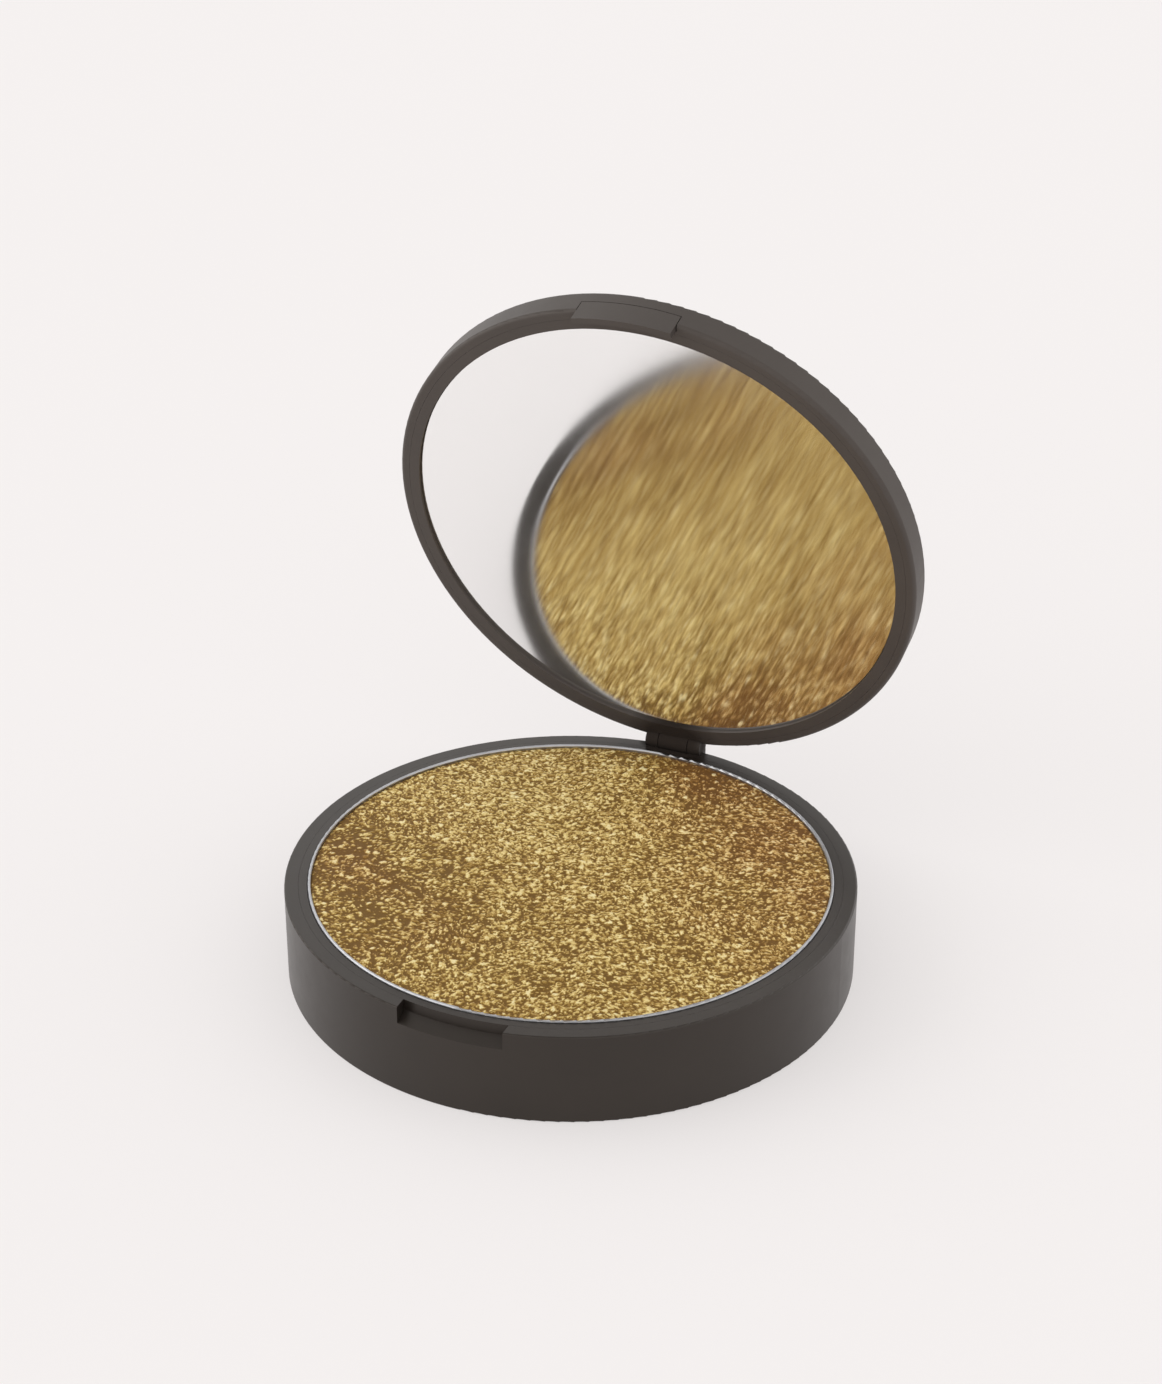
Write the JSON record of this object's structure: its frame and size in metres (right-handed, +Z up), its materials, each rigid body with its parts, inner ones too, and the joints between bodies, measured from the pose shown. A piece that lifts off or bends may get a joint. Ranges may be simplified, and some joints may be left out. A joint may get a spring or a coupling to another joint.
{
  "type": "powder compact",
  "caption": "Round dark compact with a hinged mirror lid, a latch tab in the lid's wall, and pressed gold glitter powder in a metal pan.",
  "frame": {"origin": "centre of the compact's underside", "axes": "+Z up through the middle of the powder pan, +Y towards the hinge, -Y towards the latch, +X along the hinge pin"},
  "size_m": [0.07, 0.0728, 0.0797],
  "materials": {
    "casing": "satin moulded plastic, dark warm grey",
    "pan_metal": "drawn sheet with a bright lip",
    "pin_steel": "ground wire",
    "powder": "pressed powder full of fine gold glitter",
    "mirror_glass": "silvered glass, polished",
    "tape": "thin foam tape",
    "adhesive": "dried glue",
    "label": "blank satin paper label"
  },
  "bodies": {
    "base": {"base_shell": "casing", "base_label": "label", "pan_tray": "casing", "pan_adhesive": "adhesive", "powder_pan": "pan_metal", "powder_cake": "powder", "hinge_pin": "pin_steel"},
    "lid": {"lid_shell": "casing", "latch_tab": "casing", "mirror_frame": "casing", "mirror_tape": "tape", "mirror": "mirror_glass"}
  },
  "joints": [
    {"name": "lid_hinge", "type": "hinge", "parent": "base", "child": "lid", "pos_m": [0, 0.03466, 0.01248], "axis": [-1, 0, 0], "range_deg": [-74.5, 63.5]}
  ]
}
